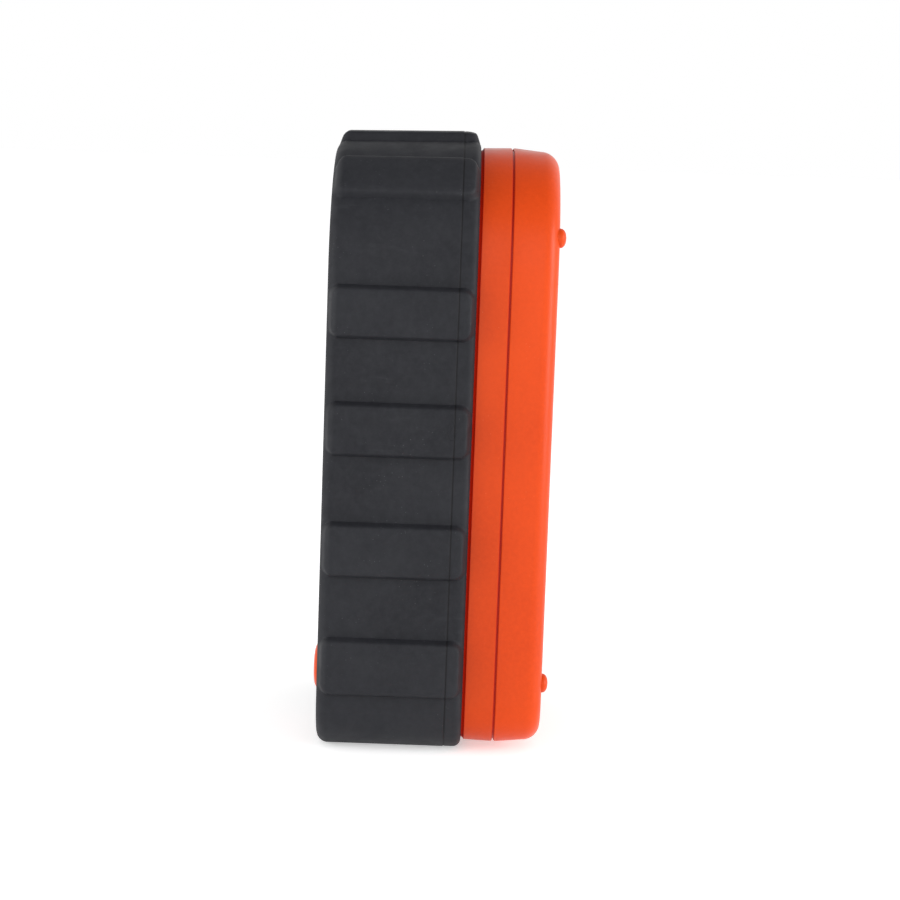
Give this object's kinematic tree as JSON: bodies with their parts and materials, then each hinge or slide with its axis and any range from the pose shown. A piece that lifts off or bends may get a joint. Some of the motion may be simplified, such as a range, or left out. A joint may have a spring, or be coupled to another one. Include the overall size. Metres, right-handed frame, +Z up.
{
  "type": "digital multimeter",
  "caption": "Hand-held digital multimeter in an orange housing with a thick ribbed black rubber bumper, selector dial, keys, sockets, tilt stand and battery door.",
  "frame": {"origin": "centre of the footprint, on the surface the meter stands on", "axes": "+Z up along the meter, -Y out of its front face, +X to the right seen from the front"},
  "size_m": [0.0908, 0.061, 0.1602],
  "materials": {
    "bumper_rubber": "matte moulded",
    "orange_plastic": "satin moulded",
    "panel_plastic": "fine texture",
    "window_clear": "clear",
    "key_grey": "matte",
    "display_glass": "matte reflective display",
    "board_green": "solder mask",
    "component_black": "moulded",
    "white_plastic": "moulded",
    "soft_black": "matte",
    "fuse_ceramic": "matte",
    "cell_jacket": "printed sleeve",
    "steel": "plated",
    "brass": "bright"
  },
  "bodies": {
    "housing": {"rubber_bumper": "bumper_rubber", "front_shell": "orange_plastic", "rear_shell": "orange_plastic", "faceplate": "panel_plastic", "display_window": "window_clear", "housing_screw_1": "steel", "housing_screw_2": "steel", "housing_screw_3": "steel", "housing_screw_4": "steel", "shell_seal": "soft_black", "main_board": "board_green", "display_board": "board_green", "board_connector": "component_black", "lcd_glass": "display_glass", "lcd_frame": "white_plastic", "backlight_panel": "white_plastic", "contact_strip": "soft_black", "keypad_membrane": "key_grey", "button_switch": "component_black", "detent_ring": "white_plastic", "current_socket_shroud": "panel_plastic", "common_socket_shroud": "panel_plastic", "voltage_socket_shroud": "panel_plastic", "current_socket_sleeve": "brass", "common_socket_sleeve": "brass", "voltage_socket_sleeve": "brass", "main_fuse": "fuse_ceramic", "small_fuse": "fuse_ceramic", "main_fuse_clip_lower": "steel", "main_fuse_clip_upper": "steel", "small_fuse_clip_lower": "steel", "small_fuse_clip_upper": "steel", "buzzer": "component_black", "current_shunt": "brass", "main_chip": "component_black", "capacitor_large": "component_black", "capacitor_small": "component_black", "battery_tray": "component_black", "battery_cell_1": "cell_jacket", "battery_cell_2": "cell_jacket", "battery_cell_3": "cell_jacket", "battery_cell_4": "cell_jacket", "battery_contact_lower": "steel", "battery_contact_upper": "steel"},
    "selector": {"selector_knob": "panel_plastic", "selector_rotor": "white_plastic", "rotor_wiper_left": "brass", "rotor_wiper_right": "brass", "detent_spring_left": "steel", "detent_spring_right": "steel"},
    "hold": {"hold_key": "key_grey"},
    "range": {"range_key": "key_grey"},
    "relative": {"relative_key": "key_grey"},
    "light": {"light_key": "key_grey"},
    "button": {"push_button": "orange_plastic"},
    "door": {"battery_door": "orange_plastic", "battery_door_screw": "steel"},
    "stand": {"tilt_stand": "orange_plastic"}
  },
  "joints": [
    {"name": "selector_turn", "type": "hinge", "parent": "housing", "child": "selector", "pos_m": [0, -0.0192, 0.066], "axis": [0, 1, 0], "range_deg": [-132, 132]},
    {"name": "hold_key_press", "type": "slide", "parent": "housing", "child": "hold", "axis": [0, 1, 0], "range_m": [0, 0.001], "stiffness_N_per_m": 300, "springref_m": -0.0005},
    {"name": "range_key_press", "type": "slide", "parent": "housing", "child": "range", "axis": [0, 1, 0], "range_m": [0, 0.001], "stiffness_N_per_m": 300, "springref_m": -0.0005},
    {"name": "relative_key_press", "type": "slide", "parent": "housing", "child": "relative", "axis": [0, 1, 0], "range_m": [0, 0.001], "stiffness_N_per_m": 300, "springref_m": -0.0005},
    {"name": "light_key_press", "type": "slide", "parent": "housing", "child": "light", "axis": [0, 1, 0], "range_m": [0, 0.001], "stiffness_N_per_m": 300, "springref_m": -0.0005},
    {"name": "button_press", "type": "slide", "parent": "housing", "child": "button", "axis": [0, 1, 0], "range_m": [0, 0.0015], "stiffness_N_per_m": 500, "springref_m": -0.0005},
    {"name": "battery_door_removal", "type": "slide", "parent": "housing", "child": "door", "axis": [0, 1, 0], "range_m": [0, 0.03]},
    {"name": "stand_hinge", "type": "hinge", "parent": "housing", "child": "stand", "pos_m": [0, 0.0276, 0.074], "axis": [1, 0, 0], "range_deg": [0, 45]}
  ]
}
